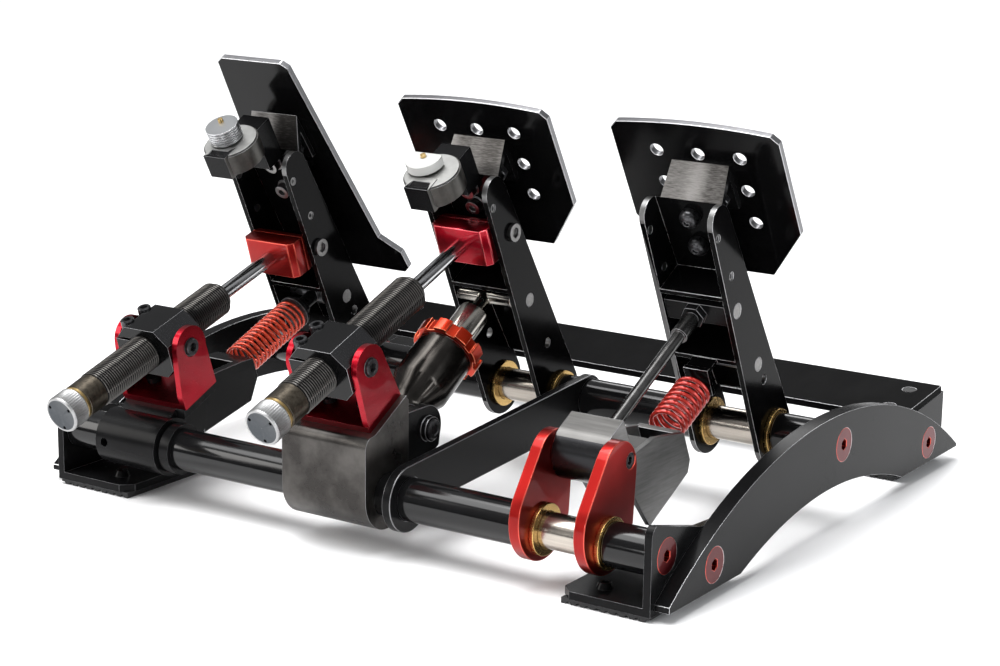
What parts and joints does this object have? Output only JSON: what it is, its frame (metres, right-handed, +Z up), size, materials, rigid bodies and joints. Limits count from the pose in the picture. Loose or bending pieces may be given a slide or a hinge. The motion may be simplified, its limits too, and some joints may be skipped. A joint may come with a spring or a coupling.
{
  "type": "sim racing pedal set",
  "caption": "Free-standing sim racing pedal set: throttle, brake and clutch pedals on a low arched steel frame, with adjustable dampers and return springs.",
  "frame": {"origin": "centre of the footprint on the floor", "axes": "+Z up, +X to the driver's right (throttle side), +Y away from the driver"},
  "size_m": [0.388, 0.39, 0.2269],
  "materials": {
    "satin_black": "satin black coating",
    "gloss_black": "glossy black coating",
    "dark_grey": "dark grey anodised",
    "red_anodised": "crimson anodised",
    "orange_red": "orange-red coating",
    "steel": "polished steel",
    "aluminium": "bare aluminium",
    "gold": "gold-coloured bearing metal",
    "rubber": "black rubber",
    "black_steel": "black oxide",
    "motor_plastic": "matt black",
    "white": "white"
  },
  "bodies": {
    "base": {"front_foot_left": "satin_black", "front_foot_right": "satin_black", "rear_feet": "satin_black", "foot_pads": "rubber", "side_arch_left": "satin_black", "side_arch_right": "satin_black", "red_screws": "red_anodised", "front_shaft": "steel", "front_sleeves": "satin_black", "pedal_axle": "steel", "axle_sleeves": "satin_black", "brace_bar": "satin_black", "heel_plate": "gloss_black", "base_bolts": "black_steel", "brake_mount_block": "dark_grey", "brake_clevis": "satin_black", "brake_fork": "red_anodised", "throttle_fork": "red_anodised", "throttle_mount": "satin_black", "throttle_spring_block": "satin_black"},
    "throttle_pedal": {"throttle_arm": "gloss_black", "throttle_pad": "gloss_black", "throttle_pad_bracket": "dark_grey", "throttle_bushes": "gold", "throttle_fasteners": "black_steel", "throttle_motor": "motor_plastic"},
    "throttle_weight": {"throttle_motor_weight": "aluminium"},
    "throttle_return_spring": {"throttle_spring": "orange_red"},
    "throttle_damper": {"throttle_damper_tube": "satin_black", "throttle_damper_clamp": "satin_black"},
    "throttle_knob": {"throttle_damper_knob": "aluminium"},
    "throttle_rod": {"throttle_damper_rod": "steel", "throttle_rod_block": "orange_red"},
    "brake_pedal": {"brake_arm": "gloss_black", "brake_pad": "gloss_black", "brake_pad_bracket": "dark_grey", "brake_bushes": "gold", "brake_fasteners": "black_steel", "brake_motor": "motor_plastic"},
    "brake_weight": {"brake_motor_weight": "white"},
    "brake_damper": {"brake_damper_tube": "satin_black", "brake_damper_clamp": "satin_black"},
    "brake_knob": {"brake_damper_knob": "aluminium"},
    "brake_rod": {"brake_damper_rod": "steel", "brake_rod_block": "red_anodised"},
    "brake_cup_body": {"brake_cup": "gloss_black"},
    "brake_ring": {"brake_adjuster_ring": "red_anodised"},
    "brake_plunger_body": {"brake_plunger": "steel"},
    "clutch_pedal": {"clutch_arm": "gloss_black", "clutch_pad": "gloss_black", "clutch_pad_bracket": "dark_grey", "clutch_bushes": "gold", "clutch_fasteners": "black_steel"},
    "clutch_rocker": {"clutch_links": "red_anodised", "clutch_link_bushes": "gold", "clutch_link_pins": "black_steel"},
    "clutch_coupler_body": {"clutch_coupler": "dark_grey", "clutch_push_rod": "black_steel"},
    "clutch_tension_spring": {"clutch_spring": "orange_red"}
  },
  "joints": [
    {"name": "throttle_press", "type": "hinge", "parent": "base", "child": "throttle_pedal", "pos_m": [0.133, -0.04399, 0.0444], "axis": [-1, 0, 0], "range_deg": [0, 16], "stiffness_Nm_per_rad": 6, "springref_deg": -17.19, "deforming": ["throttle_spring"]},
    {"name": "brake_press", "type": "hinge", "parent": "base", "child": "brake_pedal", "pos_m": [0, -0.04399, 0.0444], "axis": [-1, 0, 0], "range_deg": [0, 8], "stiffness_Nm_per_rad": 80, "springref_deg": -4.58},
    {"name": "clutch_press", "type": "hinge", "parent": "base", "child": "clutch_pedal", "pos_m": [-0.133, -0.04399, 0.0444], "axis": [-1, 0, 0], "range_deg": [0, 14], "stiffness_Nm_per_rad": 6, "springref_deg": -17.19, "deforming": ["clutch_spring"]},
    {"name": "throttle_damper_tilt", "type": "hinge", "parent": "base", "child": "throttle_damper", "pos_m": [0.133, 0.11453, 0.0827], "axis": [1, 0, 0], "range_deg": [0, 5.25]},
    {"name": "throttle_rod_tilt", "type": "hinge", "parent": "throttle_pedal", "child": "throttle_rod", "pos_m": [0.133, 0.00301, 0.1184], "axis": [1, 0, 0], "range_deg": [0, 21.41]},
    {"name": "throttle_spring_tilt", "type": "hinge", "parent": "base", "child": "throttle_return_spring", "pos_m": [0.133, 0.05101, 0.0572], "axis": [1, 0, 0], "range_deg": [0, 12.82]},
    {"name": "brake_damper_tilt", "type": "hinge", "parent": "base", "child": "brake_damper", "pos_m": [0, 0.13399, 0.09603], "axis": [1, 0, 0], "range_deg": [0, 1.36]},
    {"name": "brake_rod_tilt", "type": "hinge", "parent": "brake_pedal", "child": "brake_rod", "pos_m": [0, 0.00751, 0.1435], "axis": [1, 0, 0], "range_deg": [0, 9.44]},
    {"name": "brake_cup_tilt", "type": "hinge", "parent": "base", "child": "brake_cup_body", "pos_m": [0, 0.08401, 0.0534], "axis": [1, 0, 0], "range_deg": [0, 0.91]},
    {"name": "brake_plunger_tilt", "type": "hinge", "parent": "brake_pedal", "child": "brake_plunger_body", "pos_m": [0, -0.00031, 0.10527], "axis": [1, 0, 0], "range_deg": [0, 8.99]},
    {"name": "clutch_rocker_swing", "type": "hinge", "parent": "base", "child": "clutch_rocker", "pos_m": [-0.133, 0.12501, 0.0294], "axis": [-1, 0, 0], "range_deg": [0, 37.66]},
    {"name": "clutch_coupler_swing", "type": "hinge", "parent": "clutch_pedal", "child": "clutch_coupler_body", "pos_m": [-0.133, 0.00301, 0.1184], "axis": [1, 0, 0], "range_deg": [0, 24.65]},
    {"name": "clutch_spring_tilt", "type": "hinge", "parent": "clutch_coupler_body", "child": "clutch_tension_spring", "pos_m": [-0.133, 0.04021, 0.06], "axis": [1, 0, 0], "range_deg": [0, 4.72]},
    {"name": "throttle_knob_turn", "type": "hinge", "parent": "throttle_damper", "child": "throttle_knob", "pos_m": [0.133, 0.1792, 0.062], "axis": [0, -0.9524, 0.3049], "range_deg": [-135, 135]},
    {"name": "brake_knob_turn", "type": "hinge", "parent": "brake_damper", "child": "brake_knob", "pos_m": [0, 0.18071, 0.0785], "axis": [0, -0.9362, 0.3514], "range_deg": [-135, 135]},
    {"name": "brake_ring_turn", "type": "hinge", "parent": "brake_cup_body", "child": "brake_ring", "pos_m": [0, 0.03631, 0.08274], "axis": [0, -0.8517, 0.524], "range_deg": [-180, 180]},
    {"name": "throttle_weight_spin", "type": "hinge", "parent": "throttle_pedal", "child": "throttle_weight", "pos_m": [0.1382, 0.05125, 0.18486], "axis": [0, 0.4833, 0.8755], "continuous": true},
    {"name": "brake_weight_spin", "type": "hinge", "parent": "brake_pedal", "child": "brake_weight", "pos_m": [0.0052, 0.04956, 0.1818], "axis": [0, 0.4833, 0.8755], "continuous": true}
  ],
  "couplings": [
    {"joint": "throttle_damper_tilt", "follows": "throttle_press", "ratio": 0.322},
    {"joint": "throttle_rod_tilt", "follows": "throttle_press", "ratio": 1.322},
    {"joint": "throttle_spring_tilt", "follows": "throttle_press", "ratio": 0.79},
    {"joint": "brake_damper_tilt", "follows": "brake_press", "ratio": 0.162},
    {"joint": "brake_rod_tilt", "follows": "brake_press", "ratio": 1.162},
    {"joint": "brake_cup_tilt", "follows": "brake_press", "ratio": 0.106},
    {"joint": "brake_plunger_tilt", "follows": "brake_press", "ratio": 1.106},
    {"joint": "clutch_rocker_swing", "follows": "clutch_press", "ratio": 2.66},
    {"joint": "clutch_coupler_swing", "follows": "clutch_press", "ratio": 1.74},
    {"joint": "clutch_spring_tilt", "follows": "clutch_press", "ratio": 0.33}
  ]
}
